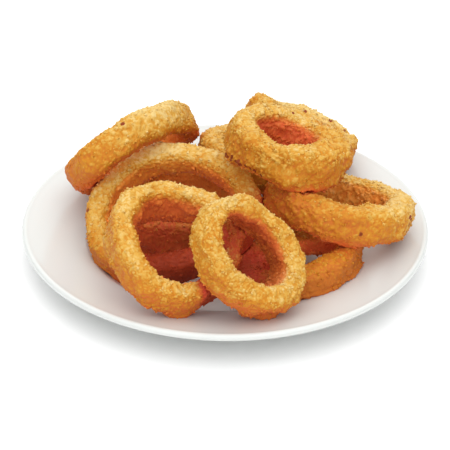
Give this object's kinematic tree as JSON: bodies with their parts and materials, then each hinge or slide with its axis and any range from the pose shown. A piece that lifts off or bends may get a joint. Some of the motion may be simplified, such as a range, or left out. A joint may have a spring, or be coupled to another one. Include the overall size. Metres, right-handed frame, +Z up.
{
  "type": "onion rings side",
  "caption": "Side of golden crumbed onion rings heaped on a round white china plate; each ring is its own solid with an open hole.",
  "frame": {"origin": "centre of the plate's foot ring, on the table", "axes": "+Z up through the plate's centre; +X to the right of someone who looks at the front of the heap; -Y towards them"},
  "size_m": [0.21, 0.21, 0.0804],
  "materials": {
    "glazed_china": "gloss",
    "crumb_crust": "matte"
  },
  "bodies": {
    "root": {"plate": "glazed_china", "ring_back_left": "crumb_crust", "ring_wide": "crumb_crust", "ring_front_left": "crumb_crust", "ring_front": "crumb_crust", "ring_top": "crumb_crust", "ring_top_back": "crumb_crust", "ring_right": "crumb_crust", "ring_low_right": "crumb_crust", "ring_low_middle": "crumb_crust", "ring_low_back": "crumb_crust"}
  },
  "joints": []
}
